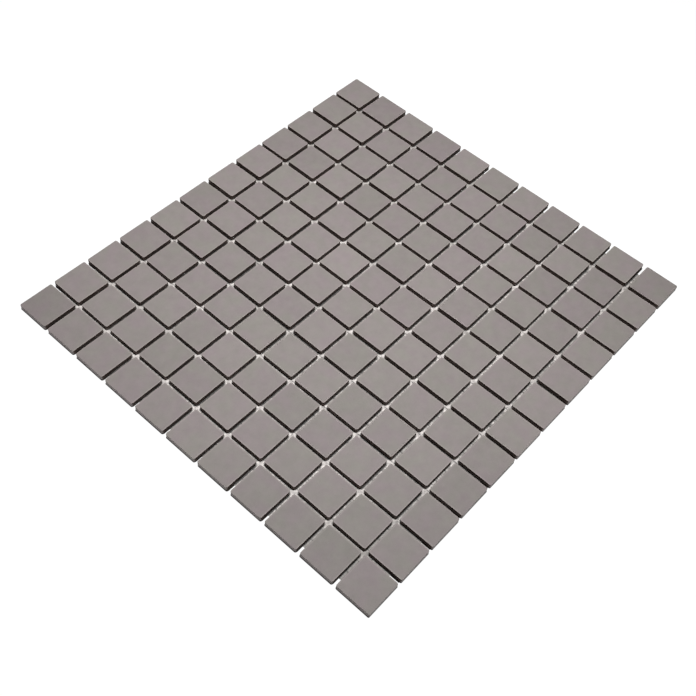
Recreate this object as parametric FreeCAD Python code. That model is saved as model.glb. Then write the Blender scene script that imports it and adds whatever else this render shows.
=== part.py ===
import FreeCAD, Part
import math
import os

# A sheet of small square ceramic tiles, held together by a net and a thin adhesive film on their backs.
# All lengths are in millimetres. X runs along the longer side of the sheet and Z points up, out of
# the tile faces. The origin is under the middle of the sheet, at the level that it rests on.

# Layout of the tiles, in rows that run along Y
ROWS = 12
TILES_PER_ROW = 11
TILE_SIZE = 25.0
JOINT_WIDTH = 2.5

# One tile, whose back is smaller than its shoulder by the draft's width on each side
TILE_THICKNESS = 3.6
TILE_CORNER_RADIUS = 1.2
ARRIS_WIDTH = 0.3
ARRIS_DEPTH = 0.2
DRAFT_WIDTH = 0.1

# Backing, which stops short of the outer edges of the tiles
BACKING_INSET = 7.5
FILM_THICKNESS = 0.15
YARN_PITCH = 8.84
YARN_WIDTH = 0.9
YARN_THICKNESS = 0.125
FIRST_CROSS_YARN_FROM_EDGE = 4.6
FIRST_LONG_YARN_FROM_EDGE = 3.2

CORNERS = 4
FLATS_PER_CORNER = 3
QUARTER_TURN = math.pi / 2


def tile_pitch():
    """Distance from one tile to the next."""
    return TILE_SIZE + JOINT_WIDTH


def sheet_length(tile_count):
    """Length of a row of tiles, from its first outer edge to its last."""
    return tile_count * tile_pitch() - JOINT_WIDTH


def backing_length(tile_count):
    """Length of the backing along a row of tiles."""
    return sheet_length(tile_count) - 2 * BACKING_INSET


def film_base():
    """Height of the film's underside, which lies on the two layers of yarn."""
    return 2 * YARN_THICKNESS


def tile_base():
    """Height of the tiles' backs, which lie on the film."""
    return film_base() + FILM_THICKNESS


def tile_outline(inset, height):
    """Corners of a tile's outline at a height, drawn in from the full size, anticlockwise from above."""
    half_straight = TILE_SIZE / 2 - TILE_CORNER_RADIUS
    radius = TILE_CORNER_RADIUS - inset
    points = []
    for corner in range(CORNERS):
        diagonal = QUARTER_TURN * corner + QUARTER_TURN / 2
        centre_x = math.copysign(half_straight, math.cos(diagonal))
        centre_y = math.copysign(half_straight, math.sin(diagonal))
        for step in range(FLATS_PER_CORNER + 1):
            angle = QUARTER_TURN * (corner + step / FLATS_PER_CORNER)
            x = centre_x + radius * math.cos(angle)
            y = centre_y + radius * math.sin(angle)
            points.append(FreeCAD.Vector(x, y, height))
    return points


def flat_face(points):
    """A flat face through the points given, in order."""
    return Part.Face(Part.makePolygon(points + points[:1]))


def band(lower, upper):
    """The ring of flat faces between two outlines of a tile, one above the other."""
    following = lower[1:] + lower[:1]
    following_upper = upper[1:] + upper[:1]
    return [flat_face(list(corners)) for corners in zip(lower, following, following_upper, upper)]


def tile():
    """A tile with rounded corners, drafted flanks and an eased upper arris, its back at height 0."""
    back = tile_outline(DRAFT_WIDTH, 0)
    shoulder = tile_outline(0, TILE_THICKNESS - ARRIS_DEPTH)
    face = tile_outline(ARRIS_WIDTH, TILE_THICKNESS)
    skin = [flat_face(back)] + band(back, shoulder) + band(shoulder, face) + [flat_face(face)]
    return Part.Solid(Part.makeShell(skin))


def centred_places(count, pitch):
    """Evenly spaced places, as many as asked for, centred on 0."""
    return [(index - (count - 1) / 2) * pitch for index in range(count)]


def tile_row(x):
    """A row of tiles across the sheet, each a solid of its own."""
    model = tile()
    tiles = []
    for y in centred_places(TILES_PER_ROW, tile_pitch()):
        copy = model.copy()
        copy.translate(FreeCAD.Vector(x, y, tile_base()))
        tiles.append(copy)
    return Part.makeCompound(tiles)


def flat_strip(size_x, size_y, thickness, middle_x, middle_y, base):
    """A flat piece of the backing, centred in plan on the point given."""
    corner = FreeCAD.Vector(middle_x - size_x / 2, middle_y - size_y / 2, base)
    return Part.makeBox(size_x, size_y, thickness, corner)


def adhesive_film():
    """The thin sheet of dried adhesive that the tiles are bedded on."""
    size_x = backing_length(ROWS)
    size_y = backing_length(TILES_PER_ROW)
    return flat_strip(size_x, size_y, FILM_THICKNESS, 0, 0, film_base())


def yarn_places(backing_size, first_from_edge):
    """Places of the yarns of one layer across the backing, from the first one near its low edge."""
    first = first_from_edge - backing_size / 2
    room = backing_size - first_from_edge - YARN_WIDTH / 2
    count = math.floor(room / YARN_PITCH) + 1
    return [first + index * YARN_PITCH for index in range(count)]


def long_yarns():
    """The net's upper layer: yarns along X, under the film."""
    length = backing_length(ROWS)
    places = yarn_places(backing_length(TILES_PER_ROW), FIRST_LONG_YARN_FROM_EDGE)
    yarns = [flat_strip(length, YARN_WIDTH, YARN_THICKNESS, 0, y, YARN_THICKNESS) for y in places]
    return Part.makeCompound(yarns)


def cross_yarns():
    """The net's lower layer: yarns along Y, which the sheet rests on."""
    length = backing_length(TILES_PER_ROW)
    places = yarn_places(backing_length(ROWS), FIRST_CROSS_YARN_FROM_EDGE)
    yarns = [flat_strip(YARN_WIDTH, length, YARN_THICKNESS, x, 0, 0) for x in places]
    return Part.makeCompound(yarns)


def write(name, shape):
    """Write one node of the sheet as a STEP file."""
    shape.exportStep(os.path.join("parts", name + ".step"))
    print(name, "solids", len(shape.Solids), "valid", shape.isValid(), "volume", round(shape.Volume, 1))


def main():
    """Build the sheet and write its nodes."""
    os.makedirs("parts", exist_ok=True)
    for number, x in enumerate(centred_places(ROWS, tile_pitch()), start=1):
        write(f"tile_row_{number:02d}", tile_row(x))
    write("adhesive_film", adhesive_film())
    write("net_long_yarns", long_yarns())
    write("net_cross_yarns", cross_yarns())


main()
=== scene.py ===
"""A sheet of small unglazed porcelain tiles, held together by dried adhesive and a net of glass yarn.

The sheet lies flat with its tile faces up. All lengths are in metres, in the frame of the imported
model: X runs along the longer side of the sheet, Z points up out of the tile faces, and the origin
is under the middle of the sheet, on the floor.
"""

import math

import bpy
import numpy as np
from bpy.props import FloatProperty, FloatVectorProperty, IntProperty, PointerProperty
from mathutils import Euler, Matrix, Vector, noise


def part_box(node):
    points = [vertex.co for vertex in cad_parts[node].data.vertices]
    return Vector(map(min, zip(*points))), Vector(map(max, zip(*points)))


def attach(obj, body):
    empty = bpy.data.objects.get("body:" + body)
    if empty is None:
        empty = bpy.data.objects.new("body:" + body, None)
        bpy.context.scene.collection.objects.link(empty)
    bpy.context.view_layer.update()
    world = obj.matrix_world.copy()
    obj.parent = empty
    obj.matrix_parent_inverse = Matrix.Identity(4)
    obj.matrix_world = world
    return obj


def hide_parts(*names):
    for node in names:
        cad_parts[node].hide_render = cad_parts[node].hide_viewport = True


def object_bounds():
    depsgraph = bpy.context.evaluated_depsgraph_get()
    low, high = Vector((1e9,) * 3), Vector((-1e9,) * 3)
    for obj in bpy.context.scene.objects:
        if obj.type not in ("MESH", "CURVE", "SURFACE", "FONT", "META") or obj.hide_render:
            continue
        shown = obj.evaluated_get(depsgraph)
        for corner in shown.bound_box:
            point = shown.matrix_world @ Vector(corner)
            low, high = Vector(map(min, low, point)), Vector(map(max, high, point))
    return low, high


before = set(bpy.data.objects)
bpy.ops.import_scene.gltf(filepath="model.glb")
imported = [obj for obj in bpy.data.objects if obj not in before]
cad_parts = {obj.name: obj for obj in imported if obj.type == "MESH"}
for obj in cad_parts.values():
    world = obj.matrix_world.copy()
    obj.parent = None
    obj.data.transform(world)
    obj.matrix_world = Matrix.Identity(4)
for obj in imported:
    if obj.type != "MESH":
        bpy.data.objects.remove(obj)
cad_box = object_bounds()

bl_info = {
    "name": "Mosaic tile sheet",
    "version": (1, 0, 0),
    "blender": (4, 5, 0),
    "location": "3D View > Sidebar > Tile sheet",
    "description": "Makes the tiles, the adhesive and the net of a mosaic tile sheet around its packed model",
    "category": "Add Mesh",
}

MM = 0.001
QUARTER_TURN = math.pi / 2
BODY = "root"
TILE_ROWS = sorted(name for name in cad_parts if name.startswith("tile_row_"))
FILM = "adhesive_film"
LONG_YARNS = "net_long_yarns"
CROSS_YARNS = "net_cross_yarns"

# What settings share that are lengths, or colors
LENGTH = {"unit": "LENGTH", "precision": 5}
COLOR = {"subtype": "COLOR", "min": 0, "max": 1}

# Sockets of a Mix node for colors, and the middle of a noise node's values
MIX_SHARE, MIX_FIRST, MIX_SECOND, MIX_RESULT = 0, 6, 7, 2
NOISE_MIDDLE = 0.5


class Layout:
    """The sheet's sizes and places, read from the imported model."""

    def __init__(self):
        first_low, first_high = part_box(TILE_ROWS[0])
        second_low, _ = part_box(TILE_ROWS[1])
        self.low, self.high = cad_box
        self.tile_size = first_high.x - first_low.x
        self.pitch = second_low.x - first_low.x
        self.joint = self.pitch - self.tile_size
        self.tile_back = first_low.z
        self.tile_face = first_high.z
        self.thickness = self.tile_face - self.tile_back
        self.count_x = len(TILE_ROWS)
        self.count_y = round((first_high.y - first_low.y + self.joint) / self.pitch)
        self.last = np.array([self.count_x, self.count_y]) - 1
        self.film_low, self.film_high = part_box(FILM)

    def tile_middle(self, column, row):
        """Middle of one tile in plan."""
        x = (column - (self.count_x - 1) / 2) * self.pitch
        y = (row - (self.count_y - 1) / 2) * self.pitch
        return np.array([x, y])


layout = Layout()


class TileSettings(bpy.types.PropertyGroup):
    """Shape and finish of the tiles."""

    corner_radius: FloatProperty(
        name="Corner radius", description="Radius of a tile's corners in plan", default=1.2 * MM, **LENGTH)
    arris_width: FloatProperty(
        name="Arris width", description="Width of the eased upper edge, seen from above",
        default=0.16 * MM, **LENGTH)
    arris_depth: FloatProperty(
        name="Arris depth", description="Depth of the eased upper edge down the flank",
        default=0.12 * MM, **LENGTH)
    # Painted highlight: a paler rim along each face's edge at a joint, as if the edge caught the light
    rim_highlight_width: FloatProperty(
        name="Rim width", description="Width of the paler rim of a face along a joint",
        default=1.0 * MM, **LENGTH)
    draft_width: FloatProperty(
        name="Draft width", description="How much smaller the back is than the shoulder, on each side",
        default=0.1 * MM, **LENGTH)
    back_ease: FloatProperty(
        name="Back edge", description="Size of the small rounding round the back", default=0.2 * MM, **LENGTH)
    shift: FloatProperty(
        name="Shift", description="Most that a tile lies beside its place on the grid",
        default=0.36 * MM, **LENGTH)
    turn: FloatProperty(
        name="Turn", description="Most that a tile is turned in plan",
        default=math.radians(0.35), unit="ROTATION")
    tilt: FloatProperty(
        name="Tilt", description="Most that a tile leans to one side",
        default=math.radians(0.12), unit="ROTATION")
    undersize: FloatProperty(
        name="Undersize", description="Most that a tile is smaller than nominal",
        default=0.20 * MM, **LENGTH)
    waviness: FloatProperty(
        name="Edge waviness", description="Unevenness of a tile's edges in plan", default=0.02 * MM, **LENGTH)
    seed: IntProperty(name="Seed", description="Seed of the tiles' small differences", default=7)
    cool_color: FloatVectorProperty(
        name="Cool body color", description="Color of the coolest tiles",
        default=(0.312, 0.288, 0.263), **COLOR)
    warm_color: FloatVectorProperty(
        name="Warm body color", description="Color of the warmest tiles",
        default=(0.325, 0.274, 0.277), **COLOR)
    # Painted shade: the joint color darkens the flanks that face another tile, where shade falls in the deep
    # narrow joints
    joint_shade_color: FloatVectorProperty(
        name="Joint color", description="Color of the flanks in the joints, stained by the adhesive",
        default=(0.116, 0.075, 0.061), **COLOR)
    roughness: FloatProperty(
        name="Roughness", description="Roughness of the unglazed face",
        default=0.62, min=0, max=1, subtype="FACTOR")


class BackingSettings(bpy.types.PropertyGroup):
    """Shape and finish of the adhesive and the net."""

    bead_height: FloatProperty(
        name="Bead height", description="Most that the adhesive creeps up a tile's flank",
        default=0.2 * MM, **LENGTH)
    bead_width: FloatProperty(
        name="Bead width", description="Most that the bead at a tile's foot spreads over the film",
        default=0.4 * MM, **LENGTH)
    mound_height: FloatProperty(
        name="Mound height", description="Height of the adhesive that gathers where two joints cross",
        default=0.16 * MM, **LENGTH)
    mound_reach: FloatProperty(
        name="Mound reach", description="How far a mound runs out into each joint from the crossing",
        default=4.3 * MM, **LENGTH)
    film_relief: FloatProperty(
        name="Film relief", description="Unevenness of the dried film", default=0.04 * MM, **LENGTH)
    film_creep: FloatProperty(
        name="Film creep", description="How far the film has crept past its edge at the low end of X",
        default=1.6 * MM, **LENGTH)
    edge_waviness: FloatProperty(
        name="Film edge waviness", description="Unevenness of the film's edges in plan",
        default=0.6 * MM, **LENGTH)
    yarn_pitch: FloatProperty(
        name="Yarn pitch", description="Distance from one yarn of the net to the next",
        default=8.84 * MM, **LENGTH)
    yarn_width: FloatProperty(
        name="Yarn width", description="Width of a flattened yarn", default=0.9 * MM, **LENGTH)
    # Painted shade: a dark line on the adhesive round the tiles' feet, where shade falls at the foot of the
    # joints' walls
    foot_shade_radius: FloatProperty(
        name="Foot radius", description="Corner radius of the dark line round the tiles' feet",
        default=0.8 * MM, **LENGTH)
    foot_shade_width: FloatProperty(
        name="Foot width", description="How far the dark line reaches from the tiles' feet",
        default=0.92 * MM, **LENGTH)
    back_shade: FloatProperty(
        name="Back shade", description="Share of the film's lights and darks that its underside shows",
        default=0.25, min=0, max=1, subtype="FACTOR")
    seed: IntProperty(name="Seed", description="Seed of the backing's unevenness", default=19)
    film_color: FloatVectorProperty(
        name="Film color", description="Color of the dried adhesive where it is thick",
        default=(0.91, 0.85, 0.815), **COLOR)
    # Thick adhesive is darker towards high X and Y and at the corner of low X and Y
    dark_film_color: FloatVectorProperty(
        name="Aged film color", description="Color of thick adhesive where it has yellowed",
        default=(0.60, 0.56, 0.525), **COLOR)
    # Painted shade: the thin adhesive in the joints is given a dark grey for the shade of the deep joints
    thin_shaded_color: FloatVectorProperty(
        name="Thin film color", description="Color of the adhesive where the net shows through it",
        default=(0.425, 0.403, 0.380), **COLOR)
    yarn_color: FloatVectorProperty(
        name="Yarn color", description="Color of the coated yarn", default=(0.72, 0.72, 0.70), **COLOR)


class StageSettings(bpy.types.PropertyGroup):
    """Camera, lamp and floor."""

    camera_place: FloatVectorProperty(
        name="Camera place", description="Place of the camera, its height above the tile faces",
        subtype="TRANSLATION", unit="LENGTH", default=(-0.34837, -0.24537, 0.52127))
    camera_turn: FloatVectorProperty(
        name="Camera turn", description="Turn of the camera about X, Y and Z",
        subtype="EULER", unit="ROTATION",
        default=tuple(math.radians(angle) for angle in (35.9351, -4.4534, -48.1237)))
    lens: FloatProperty(
        name="Lens", description="Focal length in millimetres on a 36 mm sensor", default=51.955)
    lamp_place: FloatVectorProperty(
        name="Lamp place", description="Middle of the soft lamp",
        subtype="TRANSLATION", unit="LENGTH", default=(0.14, 0.0, 2.40))
    lamp_aim: FloatVectorProperty(
        name="Lamp aim", description="Point that the lamp faces",
        subtype="TRANSLATION", unit="LENGTH", default=(0.020, 0.030, 0.0))
    lamp_size: FloatProperty(
        name="Lamp size", description="Side of the soft lamp", default=0.30, unit="LENGTH")
    lamp_spread: FloatProperty(
        name="Lamp spread", description="Angle of the lamp's beam",
        default=math.radians(32), unit="ROTATION")
    lamp_level: FloatProperty(
        name="Lamp level", description="Lamp light on the sheet, where 1 renders a color as written",
        default=1.19)
    sky_level: FloatProperty(
        name="Sky level", description="Light from all round, where 1 renders a color as written",
        default=0.02)
    floor_color: FloatVectorProperty(
        name="Floor color", description="Color of the floor", default=(0.92, 0.92, 0.92), **COLOR)
    shaded_color: FloatVectorProperty(
        name="Shaded floor color", description="Color of the floor in the shade between tiles",
        default=(0.10, 0.09, 0.08), **COLOR)
    foot_shade_radius: FloatProperty(
        name="Foot radius", description="Corner radius of the shade under the outer tiles",
        default=1.2 * MM, **LENGTH)
    floor_share: FloatProperty(
        name="Floor share", description="Share of the floor's own light that the camera sees",
        default=0.15, min=0, max=1, subtype="FACTOR")
    floor_glow: FloatProperty(
        name="Floor glow", description="Even white that the camera sees in place of the rest", default=0.945)


class Wire:
    """One output of a material's nodes. Sums written with it add Math nodes."""

    def __init__(self, tree, socket=None):
        self.tree = tree
        self.socket = socket

    def node(self, kind, settings=None, inputs=None, output=0):
        """Add a node from its type, its settings and the values or links of its sockets."""
        made = self.tree.nodes.new(kind)
        for name, setting in (settings or {}).items():
            setattr(made, name, setting)
        for name, entry in (inputs or {}).items():
            if isinstance(entry, Wire):
                self.tree.links.new(entry.socket, made.inputs[name])
            else:
                made.inputs[name].default_value = entry
        return Wire(self.tree, made.outputs[output] if made.outputs else None)

    def math(self, operation, *terms):
        """Add a Math node."""
        return self.node("ShaderNodeMath", {"operation": operation}, dict(enumerate(terms)))

    def __add__(self, other):
        return self.math("ADD", self, other)

    def __sub__(self, other):
        return self.math("SUBTRACT", self, other)

    def __rsub__(self, other):
        return self.math("SUBTRACT", other, self)

    def __mul__(self, other):
        return self.math("MULTIPLY", self, other)

    def __truediv__(self, other):
        return self.math("DIVIDE", self, other)

    def __abs__(self):
        return self.math("ABSOLUTE", self)

    __radd__ = __add__

    def root(self):
        """Square root."""
        return self.math("SQRT", self)

    def fraction(self):
        """What is left after the whole part."""
        return self.math("FRACT", self)

    def largest(self, other):
        """The larger of two values."""
        return self.math("MAXIMUM", self, other)

    def ramp(self, start, end, low=0.0, high=1.0):
        """A soft step from low to high as this value goes from start to end."""
        return self.node(
            "ShaderNodeMapRange", {"interpolation_type": "SMOOTHSTEP"},
            {"Value": self, "From Min": start, "From Max": end, "To Min": low, "To Max": high})

    def swing(self, reach):
        """This noise about its middle, times a reach."""
        return (self - NOISE_MIDDLE) * reach

    def mix_color(self, first, second):
        """Mix two colors by this share."""
        return self.node(
            "ShaderNodeMix", {"data_type": "RGBA"},
            {MIX_SHARE: self, MIX_FIRST: first, MIX_SECOND: second}, MIX_RESULT)

    def tint(self, color):
        """A color multiplied by this value."""
        grey = self.node("ShaderNodeCombineColor", inputs={"Red": self, "Green": self, "Blue": self})
        return self.node(
            "ShaderNodeMix", {"data_type": "RGBA", "blend_type": "MULTIPLY"},
            {MIX_SHARE: 1.0, MIX_FIRST: color, MIX_SECOND: grey}, MIX_RESULT)

    def bump(self, strength, distance):
        """A normal bent by this height."""
        return self.node(
            "ShaderNodeBump", inputs={"Strength": strength, "Distance": distance, "Height": self})

    def speckle(self, size, detail=2.0, roughness=0.5, stretch=None):
        """Noise on this place, of about that size in metres, from about 0.3 to 0.7."""
        place = self
        if stretch:
            place = self.node("ShaderNodeVectorMath", {"operation": "MULTIPLY"}, {0: self, 1: stretch})
        return place.node("ShaderNodeTexNoise", inputs={
            "Vector": place, "Scale": 1 / size, "Detail": detail, "Roughness": roughness})


def opaque(color):
    """A color with its fourth value, as the nodes' sockets take it."""
    return (*color, 1.0)


def new_material(name):
    """An empty material, and the wire that its nodes hang on."""
    material = bpy.data.materials.new(name)
    material.use_nodes = True
    material.node_tree.nodes.clear()
    return material, Wire(material.node_tree)


def plain_surface(wire, color, roughness, normal):
    """Link a surface of this color, roughness and normal to the material's output."""
    shader = wire.node("ShaderNodeBsdfPrincipled", inputs={
        "Base Color": color, "Roughness": roughness, "Normal": normal})
    wire.node("ShaderNodeOutputMaterial", inputs={"Surface": shader})


def object_place(wire):
    """The place on the surface, and its X, Y and Z."""
    place = wire.node("ShaderNodeTexCoord", output="Object")
    parts = wire.tree.nodes.new("ShaderNodeSeparateXYZ")
    wire.tree.links.new(place.socket, parts.inputs[0])
    return place, *(Wire(wire.tree, part) for part in parts.outputs)


def distance_to_line(across, first, pitch):
    """Distance to the nearest of a set of evenly spaced lines."""
    return abs(((across - first) / pitch + 0.5).fraction() - 0.5) * pitch


def distances_to_grid(x, y, firsts, pitch):
    """Distances along X and along Y to the nearest lines of a square grid."""
    return [distance_to_line(across, first, pitch) for across, first in zip((x, y), firsts)]


def outside_tiles(x, y):
    """Distances outside the nearest tile's square along X and along Y, below 0 within it."""
    half = layout.tile_size / 2
    distances = distances_to_grid(x, y, layout.tile_middle(0, 0), layout.pitch)
    return [distance - half for distance in distances]


def from_crossings(x, y):
    """Distances along X and along Y from the nearest crossing of joints."""
    return distances_to_grid(x, y, layout.tile_middle(0, 0) + layout.pitch / 2, layout.pitch)


def outside_rounded(x, y, radius):
    """Distance outside the nearest tile's outline, whose corners are rounded, below 0 within it."""
    corner_x, corner_y = [(across + radius).largest(0.0) for across in outside_tiles(x, y)]
    return (corner_x * corner_x + corner_y * corner_y).root() - radius


# Numbers at each point of a tile that its material reads
TILE_NUMBERS = ("tone", "warmth", "rim", "flank_shade")
# Porcelain: size of each pattern, and how much it changes lightness, hue or roughness
GRAIN_SIZE, GRAIN_REACH, GRAIN_ROUGHNESS = 0.25 * MM, 0.15, 0.2
CLOUD_SIZE, CLOUD_REACH = 6 * MM, 0.24
SPECK_SIZE, SPECK_SPAN, SPECK_SHADE = 0.7 * MM, (0.68, 0.76), 0.10
HUE_SIZE, HUE_REACH = 10 * MM, 2.2
TONE_REACH = 0.07
# Painted highlight along the faces' rims at the joints, which are also a little smoother
RIM_HIGHLIGHT, RIM_POLISH = 0.28, 0.08
PORCELAIN_BUMP = (0.35, 0.03 * MM)


def porcelain(settings):
    """Unglazed warm grey porcelain with fine grain and faint clouds, with painted shade on the flanks in the
    joints and a painted highlight along the faces' rims there.
    """
    material, wire = new_material("porcelain")
    place, *_ = object_place(wire)
    tone, tile_warmth, rim, flank_shade = (
        wire.node("ShaderNodeAttribute", {"attribute_name": name}, output="Fac") for name in TILE_NUMBERS)
    grain = place.speckle(GRAIN_SIZE, detail=3)
    clouds = place.speckle(CLOUD_SIZE, detail=3, roughness=0.6)
    specks = place.speckle(SPECK_SIZE, detail=1).ramp(*SPECK_SPAN)
    level = 1 + tone * TONE_REACH + clouds.swing(CLOUD_REACH) + grain.swing(GRAIN_REACH)
    # Painted highlight along the faces' rims at the joints
    level = level + rim * RIM_HIGHLIGHT - specks * SPECK_SHADE
    warmth = tile_warmth + place.speckle(HUE_SIZE, detail=1).swing(HUE_REACH)
    body = warmth.mix_color(opaque(settings.cool_color), opaque(settings.warm_color))
    # Painted shade: the flanks in the joints take the dark joint color
    color = flank_shade.mix_color(body, opaque(settings.joint_shade_color))
    plain_surface(
        wire, level.tint(color), settings.roughness + grain.swing(GRAIN_ROUGHNESS) - rim * RIM_POLISH,
        (grain + clouds).bump(*PORCELAIN_BUMP))
    return material


# Dried adhesive: marks of the yarns, how they wander, and how much they tell
WANDER_SIZE, WANDER_REACH = 2.5 * MM, 0.8 * MM
# A dip in the film along each cross yarn, with a dark line of painted shade in it
DIP_SPAN, DIP_SHADE, DIP_DEPTH = (0.15 * MM, 0.5 * MM), 0.45, 0.6
LONG_YARN_SPAN, LONG_YARN_SHARE = (0.4 * MM, 0.7 * MM), 0.6
# Patches and drops, and the stars' arms as shares of their reach
PATCH_SIZE, PATCH_SPAN, PATCH_ROUGHNESS = 3.5 * MM, (0.62, 0.42), 0.25
SPREAD_SIZE, SPREAD_SPAN, SPREAD_LEAST = 22 * MM, (0.44, 0.58), 0.25
DROP_SIZE, DROP_SPAN = 1.3 * MM, (0.42, 0.56)
ARM_SPAN, ARM_SLIMNESS = (0.7, 1.1), 1.3
# From its underside to its top, and how thick it looks from below
TOP_SPAN, BACK_THICKNESS = (0.05 * MM, 0.08 * MM), 0.35
# Where it is darker: towards high X and Y, at the corner of low X and Y, and towards low Y
DARKER_SIZE, DARKER_REACH, DARKER_SLOPE, DARKER_START = 26 * MM, 2, 2.5, 0.75
DARKER_CORNER = (-0.215, -0.25)
LOW_Y_SPAN, LOW_Y_SHADE = (-0.09, -0.12), 0.1
# Painted shade round the tiles' feet, weaker where joints cross, and at the middle of each crossing
FOOT_START, FOOT_SHADE = 0.25, 0.85
CROSSING_SPAN, CROSSING_LIGHT = (2.2 * MM, 4.6 * MM), 0.6
CROSSING_SHADE_SPAN, CROSSING_SHADE = (1.2 * MM, 2.6 * MM), 0.25
# Fine and wide streaks, and the surface
FINE_SIZE, FINE_REACH = 0.5 * MM, 0.3
WIDE_SIZE, WIDE_REACH = 1.8 * MM, 1.1
ADHESIVE_ROUGHNESS = 0.45
ADHESIVE_BUMP = (0.6, 0.08 * MM)


def thick_adhesive(place, patches, over_long, from_x, from_y, settings):
    """How thick the adhesive lies: stars where joints cross, patches, and drops over the long yarns."""
    from_crossing = from_x + from_y * ARM_SLIMNESS + patches.swing(settings.mound_reach / 2)
    gathered = 1 - from_crossing.ramp(*(settings.mound_reach * share for share in ARM_SPAN))
    spread = place.speckle(SPREAD_SIZE, detail=1).ramp(*SPREAD_SPAN, SPREAD_LEAST)
    drops = place.speckle(DROP_SIZE, detail=2).ramp(*DROP_SPAN)
    over_yarn = 1 - over_long.ramp(*LONG_YARN_SPAN)
    patched = gathered.largest(spread * patches.ramp(*PATCH_SPAN) * drops)
    return patched.largest(over_yarn * drops * LONG_YARN_SHARE)


def dried_adhesive(settings):
    """Whitish dried adhesive, paler over the long yarns, with a dip and a line of painted shade along each
    cross yarn, and painted shade round the tiles' feet and at the crossings.
    """
    material, wire = new_material("dried_adhesive")
    place, x, y, z = object_place(wire)
    wander = place.speckle(WANDER_SIZE).swing(WANDER_REACH)
    first_yarns = np.array([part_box(CROSS_YARNS)[0].x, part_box(LONG_YARNS)[0].y]) + settings.yarn_width / 2
    over_cross, over_long = distances_to_grid(x + wander, y + wander, first_yarns, settings.yarn_pitch)
    from_x, from_y = from_crossings(x, y)
    on_top = z.ramp(*(layout.film_low.z + height for height in TOP_SPAN), settings.back_shade)
    patches = place.speckle(PATCH_SIZE, detail=4, roughness=0.65)
    thick = thick_adhesive(place, patches, over_long, from_x, from_y, settings)
    thick = thick * on_top + (1 - on_top) * BACK_THICKNESS
    # Darker towards high X and Y and at the corner of low X and Y
    darker_stretch = (x + y) * DARKER_SLOPE + place.speckle(DARKER_SIZE, detail=1) * DARKER_REACH - DARKER_START
    darker_stretch = darker_stretch.ramp(0.0, 1.0).largest((x + y).ramp(*DARKER_CORNER))
    thick_color = darker_stretch.mix_color(opaque(settings.film_color), opaque(settings.dark_film_color))
    # Thin adhesive takes a dark grey of painted shade
    color = thick.mix_color(opaque(settings.thin_shaded_color), thick_color)
    # Painted shade round the tiles' feet, weaker where joints cross
    from_foot = outside_rounded(x, y, settings.foot_shade_radius)
    foot = (1 - from_foot.ramp(settings.foot_shade_width * FOOT_START, settings.foot_shade_width)) * on_top
    foot = foot * (1 - (1 - (from_x + from_y).ramp(*CROSSING_SPAN)) * CROSSING_LIGHT)
    # A dip along each cross yarn, darkened with painted shade
    yarn_dip_and_shade = 1 - over_cross.ramp(*DIP_SPAN)
    # Darker towards low Y
    darker_low_y = y.ramp(*LOW_Y_SPAN) * LOW_Y_SHADE
    # Painted shade at the middle of each crossing, cast by the tiles' corners
    crossing_shade = (1 - (from_x + from_y).ramp(*CROSSING_SHADE_SPAN)) * CROSSING_SHADE
    fine_streaks = place.speckle(FINE_SIZE).swing(FINE_REACH)
    streaks = fine_streaks + place.speckle(WIDE_SIZE, detail=1).swing(WIDE_REACH)
    level = (1 - foot * FOOT_SHADE) * (1 - yarn_dip_and_shade * DIP_SHADE - darker_low_y - crossing_shade + streaks * on_top)
    plain_surface(
        wire, level.tint(color), ADHESIVE_ROUGHNESS + patches * PATCH_ROUGHNESS,
        (patches - yarn_dip_and_shade * DIP_DEPTH).bump(*ADHESIVE_BUMP))
    return material


# Glass yarn: sizes of its filaments and coating, and how much they change its look
FILAMENT_SIZE, FILAMENT_SQUEEZE, FILAMENT_REACH = 0.12 * MM, 0.04, 0.5
COATING_SIZE, COATING_REACH, COATING_ROUGHNESS = 2 * MM, 0.25, 0.3
YARN_LEVEL, YARN_ROUGHNESS = 0.92, 0.4
YARN_BUMP = (0.7, 0.05 * MM)


def glass_yarn(name, settings, along):
    """Off-white coated yarn, with fine filaments along its length."""
    material, wire = new_material(name)
    place, *_ = object_place(wire)
    stretch = tuple(FILAMENT_SQUEEZE if axis == along else 1.0 for axis in range(3))
    filaments = place.speckle(FILAMENT_SIZE, detail=2, stretch=stretch)
    coating = place.speckle(COATING_SIZE, detail=3)
    level = YARN_LEVEL + filaments.swing(FILAMENT_REACH) + coating.swing(COATING_REACH)
    plain_surface(
        wire, level.tint(opaque(settings.yarn_color)), YARN_ROUGHNESS + coating * COATING_ROUGHNESS,
        filaments.bump(*YARN_BUMP))
    return material


# Floor: spans from the tiles' edges over which its shade ends
OUTER_SPAN, OUTER_SHIFT = (-1.6 * MM, -0.9 * MM), 0.5 * MM
BETWEEN_SPAN_X, BETWEEN_SPAN_Y = (0.0, 0.3 * MM), (0.15 * MM, 0.35 * MM)
SHEET_SPAN_X, SHEET_SPAN_Y = (-0.1 * MM, 0.2 * MM), (-0.35 * MM, 0.05 * MM)
CORNER_SPAN = (0.0, 0.25 * MM)
BETWEEN_LIGHT = 0.3


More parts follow.
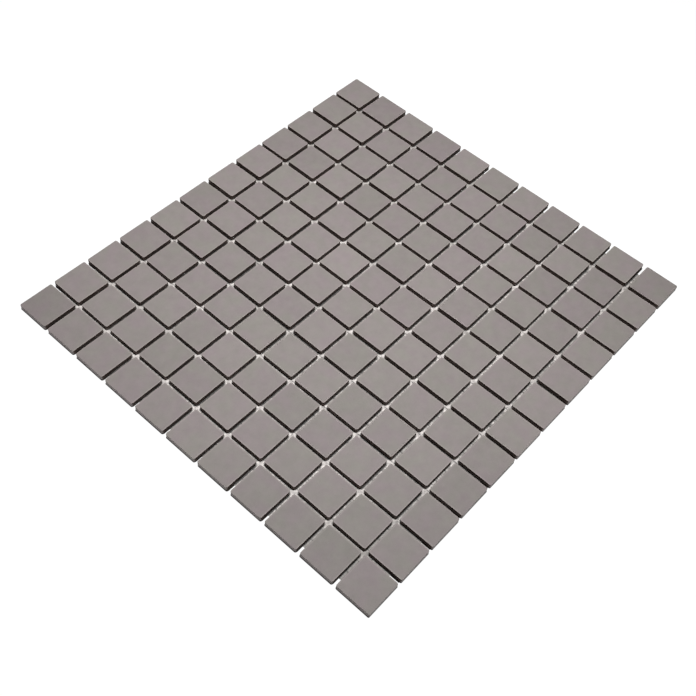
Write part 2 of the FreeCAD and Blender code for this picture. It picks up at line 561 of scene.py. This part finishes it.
def pale_floor(settings):
    """Matt floor that the camera sees as white outside the tiles, with the sheet's shadow on it."""
    material, wire = new_material("pale_floor")
    _, x, y, _ = object_place(wire)
    past_x, past_y = abs(x) - layout.high.x, abs(y) - layout.high.y
    past_edge = past_x.largest(past_y)
    across_x, across_y = outside_tiles(x, y)
    shaded_x = past_edge.ramp(*OUTER_SPAN, OUTER_SHIFT, 0.0)
    between = (across_x - shaded_x).ramp(*BETWEEN_SPAN_X).largest(across_y.ramp(*BETWEEN_SPAN_Y))
    seen = wire.node("ShaderNodeLightPath", output="Is Camera Ray")
    between = between * (seen * (1 - BETWEEN_LIGHT) + BETWEEN_LIGHT)
    past_sheet = past_x.ramp(*SHEET_SPAN_X).largest(past_y.ramp(*SHEET_SPAN_Y))
    rounded = outside_rounded(x, y, settings.foot_shade_radius).ramp(*CORNER_SPAN)
    clear = past_sheet.largest(between).largest(rounded * past_edge.ramp(*OUTER_SPAN))
    seen_color = tuple(value * settings.floor_share for value in settings.floor_color)
    open_color = seen.mix_color(opaque(settings.floor_color), opaque(seen_color))
    color = clear.mix_color(opaque(settings.shaded_color), open_color)
    diffuse = wire.node("ShaderNodeBsdfDiffuse", inputs={"Color": color})
    glow = wire.node("ShaderNodeEmission", inputs={
        "Color": (seen * clear * settings.floor_glow).tint(opaque((1, 1, 1))), "Strength": 1.0})
    both = wire.node("ShaderNodeAddShader", inputs={0: diffuse, 1: glow})
    wire.node("ShaderNodeOutputMaterial", inputs={"Surface": both})
    return material


def tile_outline(radius, corner_steps, side_steps):
    """Anchors and outward directions round a tile: a point of it lies at anchor + direction * reach."""
    anchors, directions = [], []
    for corner in range(4):
        diagonal = QUARTER_TURN * (corner + 0.5)
        centre, next_centre = (
            np.sign([math.cos(angle), math.sin(angle)]) * (layout.tile_size / 2 - radius)
            for angle in (diagonal, diagonal + QUARTER_TURN))
        for step in range(corner_steps + 1):
            angle = QUARTER_TURN * (corner + step / corner_steps)
            anchors.append(centre)
            directions.append((math.cos(angle), math.sin(angle)))
        for step in range(1, side_steps):
            anchors.append(centre + (next_centre - centre) * step / side_steps)
            directions.append(directions[-1])
    return np.array(anchors), np.array(directions)


# Tiles: points round a corner and along a side, steps up the arris, and marks
TILE_STEPS = (7, 8)
ARRIS_STEPS = 5
ROUNDING_MIDDLE = 0.3
SHOULDER_RIM = 0.3
# How fast the flanks' painted shade fades over the arris
SHADE_FADE = 4
OUTER_SIDE_MARK = -1.5
TILE_SMOOTH_ANGLE = math.radians(50)
# Differences between tiles, and waves round a tile's edge
TONE_SPREAD = 0.5
WARMTH_MIDDLE, WARMTH_SPREAD = 0.5, 0.08
OUTER_SHIFT_SHARE = 0.3
EDGE_WAVES = (3, 5, 9, 14)


def tile_profile(settings):
    """Inset, height, rim highlight mark and flank shade mark of each ring of a tile, from its back to its
    face.
    """
    ease, draft = settings.back_ease, settings.draft_width
    shoulder = layout.thickness - settings.arris_depth
    rings = [
        (draft + ease * 2, 0.0, 0.0, 0.0),
        (draft + ease, 0.0, 0.0, 1.0),
        (draft + ease * ROUNDING_MIDDLE, ease * ROUNDING_MIDDLE, 0.0, 1.0),
        (draft, ease, 0.0, 1.0),
        (draft / 2, shoulder / 2, 0.0, 1.0),
        (0.0, shoulder, SHOULDER_RIM, 1.0),
    ]
    for step in range(1, ARRIS_STEPS + 1):
        share = step / ARRIS_STEPS
        inset = settings.arris_width * (1 - math.cos(QUARTER_TURN * share))
        height = shoulder + settings.arris_depth * math.sin(QUARTER_TURN * share)
        rings.append((inset, height, 1.0, 1 - share ** SHADE_FADE))
    rings.append((settings.rim_highlight_width, layout.thickness, 0.0, 0.0))
    return rings


def tile_places(settings):
    """What differs from tile to tile, the same on every run."""
    random = np.random.default_rng(settings.seed)
    places = {}
    for column in range(layout.count_x):
        for row in range(layout.count_y):
            shift = np.clip(random.normal(0, settings.shift / 2, 2), -settings.shift, settings.shift)
            outward = (layout.last == (column, row)).astype(int) - (np.array([column, row]) == 0)
            shift = np.where(outward == 0, shift, -outward * np.abs(shift) * OUTER_SHIFT_SHARE)
            places[column, row] = {
                "middle": layout.tile_middle(column, row) + shift,
                "turn": random.uniform(-1, 1) * settings.turn,
                "tilt": random.uniform(-1, 1, 2) * settings.tilt,
                "undersize": random.uniform(0, 1) * settings.undersize,
                "tone": float(np.clip(random.normal(0, TONE_SPREAD), -1, 1)),
                "warmth": float(np.clip(random.normal(WARMTH_MIDDLE, WARMTH_SPREAD), 0, 1)),
                "phases": random.uniform(0, 2 * math.pi, len(EDGE_WAVES)),
            }
    return places


def edge_wave(place, settings, count):
    """Unevenness in plan at each point round a tile."""
    angles = np.linspace(0, 2 * math.pi, count, endpoint=False)
    wave = sum(np.sin(angles * turns + phase) for turns, phase in zip(EDGE_WAVES, place["phases"]))
    return wave / len(EDGE_WAVES) * settings.waviness


def turned(points, angle):
    """Points in plan, turned about the origin."""
    cosine, sine = math.cos(angle), math.sin(angle)
    return points @ np.array([[cosine, sine], [-sine, cosine]])


def rings_to_faces(rings, count, first):
    """Faces between rings of points, which are stacked in order."""
    faces = []
    for ring in range(rings - 1):
        low = first + ring * count
        high = low + count
        for point in range(count):
            after = (point + 1) % count
            faces.append((low + point, low + after, high + after, high + point))
    return faces


def add_object(name, data):
    """An object with this data, put into the scene."""
    made = bpy.data.objects.new(name, data)
    bpy.context.scene.collection.objects.link(made)
    return made


def new_piece(name, points, faces, material, smooth_angle=None):
    """A mesh object at the origin, with its material, shaded smooth below an angle."""
    mesh = bpy.data.meshes.new(name)
    mesh.from_pydata(np.asarray(points).tolist(), [], faces)
    mesh.validate()
    mesh.materials.append(material)
    mesh.shade_smooth()
    if smooth_angle:
        mesh.set_sharp_from_angle(angle=smooth_angle)
    return add_object(name, mesh)


def tile_points(place, profile, anchors, directions, settings):
    """The points of one tile in its place, ring by ring, kept inside the sheet's box."""
    wave = edge_wave(place, settings, len(anchors))
    rings = []
    for inset, height, _, _ in profile:
        reach = settings.corner_radius - inset - place["undersize"] / 2 - settings.waviness + wave
        plan = turned(anchors + directions * reach[:, None], place["turn"])
        lean = plan @ place["tilt"]
        rings.append(np.column_stack([plan + place["middle"], layout.tile_back + height + lean]))
    points = np.concatenate(rings)
    over = np.maximum(points.max(0) - np.array(layout.high), 0)
    under = np.maximum(np.array(layout.low) - points.min(0), 0)
    return points - over + under


def joint_marks(column, row, marks, directions):
    """A mark for each point of a tile, ring by ring, only on the sides that face another tile."""
    number = np.array([column, row])
    faces_tile = np.where(directions > 0, number < layout.last, number > 0)
    facing = np.clip((np.where(faces_tile, 1.0, OUTER_SIDE_MARK) * directions ** 2).sum(1), 0, 1)
    return np.concatenate([facing * mark for mark in marks])


def make_tile_row(column, places, settings, material):
    """One row of separate closed tiles across the sheet, in one piece."""
    profile = tile_profile(settings)
    _, _, highlight_marks, shade_marks = zip(*profile)
    anchors, directions = tile_outline(settings.corner_radius, *TILE_STEPS)
    count = len(anchors)
    per_tile = count * len(profile)
    points, faces, numbers = [], [], []
    for row in range(layout.count_y):
        place = places[column, row]
        first = row * per_tile
        points.append(tile_points(place, profile, anchors, directions, settings))
        faces += rings_to_faces(len(profile), count, first)
        faces.append(tuple(range(first + count - 1, first - 1, -1)))
        faces.append(tuple(range(first + per_tile - count, first + per_tile)))
        numbers.append([
            *(np.full(per_tile, place[name]) for name in ("tone", "warmth")),
            *(joint_marks(column, row, marks, directions) for marks in (highlight_marks, shade_marks))])
    node = TILE_ROWS[column]
    piece = new_piece(
        node.replace("tile_row", "tiles"), np.concatenate(points), faces, material, TILE_SMOOTH_ANGLE)
    for name, values in zip(TILE_NUMBERS, np.hstack(numbers)):
        attribute = piece.data.attributes.new(name, "FLOAT", "POINT")
        attribute.data.foreach_set("value", values.astype(np.float32))
    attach(piece, BODY)
    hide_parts(node)


# Unevenness of each kind: its size, and what it adds to the backing's seed
FILM_TOP, FILM_BACK, FILM_EDGE = (6 * MM, 0), (5 * MM, 1), (16 * MM, 8)
BEAD_SWELL, BEAD_RIPPLE = (3.0 * MM, 2), (1.1 * MM, 3)
MOUND_RELIEF = (1.4 * MM, 5)
YARN_WANDER, YARN_SWELL = (30 * MM, 4), (4 * MM, 6)
# How far apart two seeds' places in the noise lie
SEED_STEPS = (3.7, 1.3, 0.9)


def unevenness(points, kind, seed):
    """Smooth noise from -1 to 1 at each point, with features of about this kind's size."""
    size, own_seed = kind
    offset = Vector([(seed + own_seed) * step for step in SEED_STEPS])
    return np.array([noise.noise(Vector(point) / size + offset) for point in points])


def grid_cells(count_x, count_y):
    """Corners of each cell of a grid whose points run along Y first, anticlockwise from above."""
    cells = []
    for i in range(count_x - 1):
        for j in range(count_y - 1):
            here, after = i * count_y + j, (i + 1) * count_y + j
            cells.append((here, after, after + 1, here + 1))
    return cells


def slab_faces(cells, count, first=0):
    """Faces of a closed slab: its top's cells, its bottom, whose points follow the top's, and its rim."""
    edges = [edge for cell in cells for edge in zip(cell, cell[1:] + cell[:1])]
    known = set(edges)
    faces = list(cells)
    faces += [tuple(point + count for point in reversed(cell)) for cell in cells]
    faces += [(b, a, a + count, b + count) for a, b in edges if (b, a) not in known]
    return [tuple(point + first for point in face) for face in faces]


# Film: cells for each yarn, and angles up to which film and beads look smooth
CELLS_PER_YARN = 4
FILM_SMOOTH_ANGLE, BEAD_SMOOTH_ANGLE = math.radians(40), math.radians(60)


def film_edge_shift(plan, low, high, settings):
    """How far each point on the film's rim lies off its straight edges, in plan."""
    ends = np.array([low[:2], high[:2]])
    outward = np.isclose(plan[:, :2], ends[1]).astype(int) - np.isclose(plan[:, :2], ends[0])
    wave = unevenness(plan, FILM_EDGE, settings.seed) * settings.edge_waviness
    shift = outward * wave[:, None]
    shift[:, 0] -= (outward[:, 0] < 0) * settings.film_creep
    return shift


def make_film(settings, material):
    """The film of dried adhesive: a thin closed sheet, its top and bottom gently uneven."""
    low, high = layout.film_low, layout.film_high
    step = settings.yarn_pitch / CELLS_PER_YARN
    across_x = np.linspace(low.x, high.x, round((high.x - low.x) / step) + 1)
    across_y = np.linspace(low.y, high.y, round((high.y - low.y) / step) + 1)
    plan = np.array([(x, y, 0.0) for x in across_x for y in across_y])
    top, bottom = plan.copy(), plan.copy()
    rise = (unevenness(plan, FILM_TOP, settings.seed) + 1) / 2 * settings.film_relief
    dip = (unevenness(plan, FILM_BACK, settings.seed) + 1) / 2 * settings.film_relief / 2
    top[:, 2] = high.z - rise
    bottom[:, 2] = low.z + dip
    creep = film_edge_shift(plan, low, high, settings)
    top[:, :2] += creep
    bottom[:, :2] += creep
    faces = slab_faces(grid_cells(len(across_x), len(across_y)), len(plan))
    piece = new_piece("film", np.concatenate([top, bottom]), faces, material, FILM_SMOOTH_ANGLE)
    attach(piece, BODY)
    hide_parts(FILM)


def bead_runs(inside):
    """Stretches of a ring of points that lie inside, as point numbers, and whether each is closed."""
    count = len(inside)
    if inside.all():
        return [(list(range(count)), True)]
    runs = []
    starts = [point for point in range(count) if inside[point] and not inside[point - 1]]
    for start in starts:
        run = []
        while inside[(start + len(run)) % count]:
            run.append((start + len(run)) % count)
        if len(run) > 2:
            runs.append((run, False))
    return runs


# Beads: points round a corner and along a side, overlap with tile and film, and curve
BEAD_STEPS = (6, 20)
BEAD_OVERLAP, BEAD_SINK = 0.12 * MM, 0.03 * MM
BEAD_CURVE = [(0.55, 0.10), (0.22, 0.38)]
BEAD_TOP_REACH, BEAD_TOP_SHARE = 0.03 * MM, 0.9
# How full a bead is along its run, at its ends and near a crossing
BEAD_LEAST, SWELL_SHARE, RIPPLE_SHARE = 0.2, 0.5, 0.3
BEAD_END, BEAD_END_POINTS = 0.3, 3
BEAD_AT_CROSSING = 0.1
BEAD_SLIM, BEAD_FULL = 0.4, 0.6
COLUMN_STEP = 0.5


def bead_section(height, width):
    """Outline of a bead across its run: reach from the flank and height over the film, anticlockwise."""
    return [
        (-BEAD_OVERLAP, -BEAD_SINK),
        (width, -BEAD_SINK),
        *((width * out, height * up) for out, up in BEAD_CURVE),
        (BEAD_TOP_REACH, height * BEAD_TOP_SHARE),
        (-BEAD_OVERLAP, height),
    ]


def make_beads(places, tile, settings, material):
    """The beads of adhesive round the feet of the tiles, where there is film under them."""
    anchors, directions = tile_outline(tile.corner_radius, *BEAD_STEPS)
    foot = tile.corner_radius - tile.draft_width
    film_low, film_high = np.array(layout.film_low)[:2], np.array(layout.film_high)[:2]
    from_corner = layout.tile_size / 2 - np.abs(anchors + directions * foot).min(1)
    away = np.clip(from_corner / settings.mound_reach, BEAD_AT_CROSSING, 1)
    points, faces = [], []
    for (column, row), place in places.items():
        reach = foot - place["undersize"] / 2 - tile.waviness
        outward = turned(directions, place["turn"])
        wall = turned(anchors + directions * reach, place["turn"]) + place["middle"]
        far = wall + outward * settings.bead_width
        inside = ((far > film_low) & (far < film_high)).all(1)
        flat = np.column_stack([wall, np.full(len(wall), column * COLUMN_STEP)])
        swell = (unevenness(flat, BEAD_SWELL, settings.seed) + 1) / 2
        ripple = (unevenness(flat, BEAD_RIPPLE, settings.seed) + 1) / 2
        fullness = BEAD_LEAST + SWELL_SHARE * swell + RIPPLE_SHARE * ripple
        for run, closed in bead_runs(inside):
            first = len(points)
            for number, point in enumerate(run):
                from_end = min(number, len(run) - 1 - number)
                ends = 1.0 if closed else min(1.0, (from_end + BEAD_END) / BEAD_END_POINTS)
                share = fullness[point] * ends * away[point]
                width = settings.bead_width * (BEAD_SLIM + BEAD_FULL * share)
                section = bead_section(settings.bead_height * share, width)
                for out, up in section:
                    plan = wall[point] + outward[point] * out
                    points.append((plan[0], plan[1], layout.film_high.z + up))
            sides = len(section)
            faces += run_to_faces(len(run), sides, first, closed)
    piece = new_piece("adhesive_beads", points, faces, material, BEAD_SMOOTH_ANGLE)
    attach(piece, BODY)


# Mounds: overlap with tiles and film, their points, and how they differ
MOUND_OVERLAP, MOUND_SINK = 0.35 * MM, 0.05 * MM
MOUND_STEPS = 7
MOUND_HEIGHTS = (0.55, 1.0)
MOUND_LEAN_MM = 0.8
MOUND_FALL = 1.5
MOUND_ROUGHNESS = 0.25
HAIR = 1e-9


def make_mounds(settings, material):
    """The adhesive that gathers where two joints cross, as low mounds with an arm in each joint."""
    random = np.random.default_rng(settings.seed)
    half_width = layout.joint / 2 + MOUND_OVERLAP
    arm = np.linspace(half_width, settings.mound_reach, MOUND_STEPS)
    middle_places = np.linspace(-half_width, half_width, MOUND_STEPS)[1:-1]
    places = np.concatenate([-arm[::-1], middle_places, arm])
    plan = np.array([(x, y) for x in places for y in places])
    inner = np.abs(plan) <= half_width + HAIR
    cells = [cell for cell in grid_cells(len(places), len(places)) if inner[list(cell)].all(0).any()]
    used = sorted({point for cell in cells for point in cell})
    number = {point: index for index, point in enumerate(used)}
    cells = [tuple(number[point] for point in cell) for cell in cells]
    plan = plan[used]
    points, faces = [], []
    for column in range(layout.count_x - 1):
        for row in range(layout.count_y - 1):
            middle = layout.tile_middle(column, row) + layout.pitch / 2
            height = settings.mound_height * random.uniform(*MOUND_HEIGHTS)
            lean = random.uniform(-MOUND_LEAN_MM, MOUND_LEAN_MM, 2) * MM
            distance = np.abs(plan - lean * (np.abs(plan) > half_width)).max(1)
            share = np.clip(1 - distance / settings.mound_reach, 0, 1)
            world = np.column_stack([plan + middle, np.zeros(len(plan))])
            rough = unevenness(world, MOUND_RELIEF, settings.seed) * MOUND_ROUGHNESS
            rise = height * share ** MOUND_FALL * (1 + rough)
            top, bottom = world.copy(), world
            top[:, 2] = layout.film_high.z - MOUND_SINK + rise
            bottom[:, 2] = layout.film_low.z + MOUND_SINK
            faces += slab_faces(cells, len(plan), len(points) * 2 * len(plan))
            points.append(np.concatenate([top, bottom]))
    piece = new_piece(
        "adhesive_mounds", np.concatenate(points), faces, material, BEAD_SMOOTH_ANGLE)
    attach(piece, BODY)


def run_to_faces(sections, sides, first, closed):
    """Faces along a run of sections, with flat ends where it isn't closed."""
    faces = []
    for number in range(sections if closed else sections - 1):
        here = first + number * sides
        after = first + (number + 1) % sections * sides
        for side in range(sides):
            beside = (side + 1) % sides
            faces.append((here + side, here + beside, after + beside, after + side))
    if not closed:
        faces.append(tuple(range(first + sides - 1, first - 1, -1)))
        last = first + (sections - 1) * sides
        faces.append(tuple(range(last, last + sides)))
    return faces


# Yarns: section, steps from one crossing to the next, and how they wander and swell
YARN_SIDES = 12
FURROW_DEPTH, FURROW_WIDTH = 0.3, 0.3
YARN_STEPS = 4
YARN_REACH_MM, YARN_PLUMPNESS = 0.2, 0.08
YARN_SLIM, YARN_AT_CROSSING = 0.78, 0.14


def yarn_section(width, thickness):
    """Outline of a flattened yarn across its run, with a shallow furrow between its two strands."""
    section = []
    for side in range(YARN_SIDES):
        angle = 2 * math.pi * side / YARN_SIDES
        across = math.cos(angle)
        furrow = 1 - FURROW_DEPTH * math.exp(-((across / FURROW_WIDTH) ** 2))
        section.append((across * width / 2, math.sin(angle) * thickness / 2 * furrow))
    return section


def make_yarns(node, along, settings, material):
    """One layer of the net: flattened yarns that run along one axis, a little wider where they cross."""
    low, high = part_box(node)
    across = 1 - along
    first = low[across] + settings.yarn_width / 2
    last = high[across] - settings.yarn_width / 2
    count = round((last - first) / settings.yarn_pitch) + 1
    steps = round((high[along] - low[along]) / settings.yarn_pitch * YARN_STEPS)
    run = np.linspace(low[along], high[along], steps + 1)
    other_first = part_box(CROSS_YARNS if along == 0 else LONG_YARNS)[0][along] + settings.yarn_width / 2
    crossing = np.cos((run - other_first) / settings.yarn_pitch * 2 * math.pi) / 2 + 0.5
    middle_z = (low.z + high.z) / 2
    seed = settings.seed + along
    points, faces = [], []
    for number in range(count):
        place = first + number * settings.yarn_pitch
        track = np.column_stack([run, np.full(len(run), place), np.zeros(len(run))])
        wander = unevenness(track, YARN_WANDER, seed) * YARN_REACH_MM * MM
        plump = unevenness(track, YARN_SWELL, seed) * YARN_PLUMPNESS
        start = len(points)
        for step, distance in enumerate(run):
            width = settings.yarn_width * (YARN_SLIM + YARN_AT_CROSSING * crossing[step] + plump[step])
            for out, up in yarn_section(width, high.z - low.z):
                point = [0.0, 0.0, middle_z + up]
                point[along] = distance
                point[across] = place + out + wander[step]
                points.append(point)
        made = run_to_faces(len(run), YARN_SIDES, start, False)
        faces += made if along == 1 else [face[::-1] for face in made]
    points = np.clip(np.array(points), np.array(low), np.array(high))
    piece = new_piece(node.replace("net_", ""), points, faces, material)
    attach(piece, BODY)
    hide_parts(node)


# Half the floor's side
FLOOR_REACH = 4.0


def make_floor(settings):
    """The floor that the sheet lies on."""
    mesh = bpy.data.meshes.new("floor")
    corners = [(x * FLOOR_REACH, y * FLOOR_REACH, 0) for x, y in ((-1, -1), (1, -1), (1, 1), (-1, 1))]
    mesh.from_pydata(corners, [], [(0, 1, 2, 3)])
    mesh.materials.append(pale_floor(settings))
    floor = add_object("floor", mesh)


def make_lamp(settings):
    """One soft square lamp high over the sheet and a little to its side, facing it."""
    lamp = bpy.data.lights.new("overhead_lamp", "AREA")
    lamp.shape = "SQUARE"
    lamp.size = settings.lamp_size
    lamp.spread = settings.lamp_spread
    place = Vector(settings.lamp_place)
    half_spread = settings.lamp_spread / 2
    beam_share = 1 - half_spread / math.tan(half_spread)
    cosine = place.z / place.length
    lamp.energy = settings.lamp_level * (math.pi * place.length) ** 2 * beam_share / cosine
    holder = add_object("overhead_lamp", lamp)
    holder.location = place
    holder.rotation_euler = (place - Vector(settings.lamp_aim)).to_track_quat("Z", "Y").to_euler()
    holder.visible_camera = False


def make_sky(settings):
    """Plain white light from all round, which the camera sees as white."""
    world = bpy.data.worlds.new("sky")
    world.use_nodes = True
    world.node_tree.nodes.clear()
    wire = Wire(world.node_tree)
    seen = wire.node("ShaderNodeLightPath", output="Is Camera Ray")
    color = seen.mix_color(opaque([settings.sky_level] * 3), opaque((1, 1, 1)))
    background = wire.node("ShaderNodeBackground", inputs={"Color": color, "Strength": 1.0})
    wire.node("ShaderNodeOutputWorld", inputs={"Surface": background})
    bpy.context.scene.world = world


def make_camera(settings):
    """The camera at the photograph's place, turn and lens."""
    data = bpy.data.cameras.new("camera")
    data.sensor_width = 36.0
    data.lens = settings.lens
    data.clip_start = 0.01
    camera = add_object("camera", data)
    camera.location = Vector(settings.camera_place) + Vector((0, 0, layout.tile_face))
    camera.rotation_euler = Euler(settings.camera_turn)
    bpy.context.scene.camera = camera


class TILESHEET_OT_tiles(bpy.types.Operator):
    """Make the rows of tiles"""

    bl_idname = "tilesheet.tiles"
    bl_label = "Tiles"

    def execute(self, context):
        settings = context.scene.tilesheet_tile
        material = porcelain(settings)
        places = tile_places(settings)
        for column in range(layout.count_x):
            make_tile_row(column, places, settings, material)
        return {"FINISHED"}


class TILESHEET_OT_adhesive(bpy.types.Operator):
    """Make the film, the beads and the mounds of dried adhesive"""

    bl_idname = "tilesheet.adhesive"
    bl_label = "Adhesive"

    def execute(self, context):
        tile, settings = context.scene.tilesheet_tile, context.scene.tilesheet_backing
        material = dried_adhesive(settings)
        make_film(settings, material)
        make_beads(tile_places(tile), tile, settings, material)
        make_mounds(settings, material)
        return {"FINISHED"}


class TILESHEET_OT_net(bpy.types.Operator):
    """Make the two layers of yarn of the net"""

    bl_idname = "tilesheet.net"
    bl_label = "Net"

    def execute(self, context):
        settings = context.scene.tilesheet_backing
        make_yarns(LONG_YARNS, 0, settings, glass_yarn("long_yarn", settings, 0))
        make_yarns(CROSS_YARNS, 1, settings, glass_yarn("cross_yarn", settings, 1))
        return {"FINISHED"}


class TILESHEET_OT_stage(bpy.types.Operator):
    """Make the floor, the light and the camera"""

    bl_idname = "tilesheet.stage"
    bl_label = "Stage"

    def execute(self, context):
        settings = context.scene.tilesheet_stage
        make_floor(settings)
        make_lamp(settings)
        make_sky(settings)
        make_camera(settings)
        context.scene.view_settings.view_transform = "Standard"
        return {"FINISHED"}


class TILESHEET_PT_panel(bpy.types.Panel):
    """Sizes, colors and the steps that make the sheet"""

    bl_idname = "TILESHEET_PT_panel"
    bl_label = "Mosaic tile sheet"
    bl_space_type = "VIEW_3D"
    bl_region_type = "UI"
    bl_category = "Tile sheet"

    def draw(self, context):
        for holder, _, steps in SECTIONS:
            box = self.layout.box()
            settings = getattr(context.scene, holder)
            for name in settings.__annotations__:
                box.prop(settings, name)
            for step in steps:
                box.operator(step.bl_idname)


SECTIONS = [
    ("tilesheet_tile", TileSettings, [TILESHEET_OT_tiles]),
    ("tilesheet_backing", BackingSettings, [TILESHEET_OT_adhesive, TILESHEET_OT_net]),
    ("tilesheet_stage", StageSettings, [TILESHEET_OT_stage]),
]
CLASSES = [kind for _, settings, steps in SECTIONS for kind in (settings, *steps)] + [TILESHEET_PT_panel]


def register():
    """Make the settings, steps and panel known."""
    for kind in CLASSES:
        bpy.utils.register_class(kind)
    for holder, kind, _ in SECTIONS:
        setattr(bpy.types.Scene, holder, PointerProperty(type=kind))


def unregister():
    """Take the settings, steps and panel out again."""
    for holder, _, _ in SECTIONS:
        delattr(bpy.types.Scene, holder)
    for kind in reversed(CLASSES):
        bpy.utils.unregister_class(kind)


def main():
    """Make the whole sheet and its stage."""
    register()
    bpy.ops.tilesheet.tiles()
    bpy.ops.tilesheet.adhesive()
    bpy.ops.tilesheet.net()
    bpy.ops.tilesheet.stage()


if __name__ == "__main__":
    main()
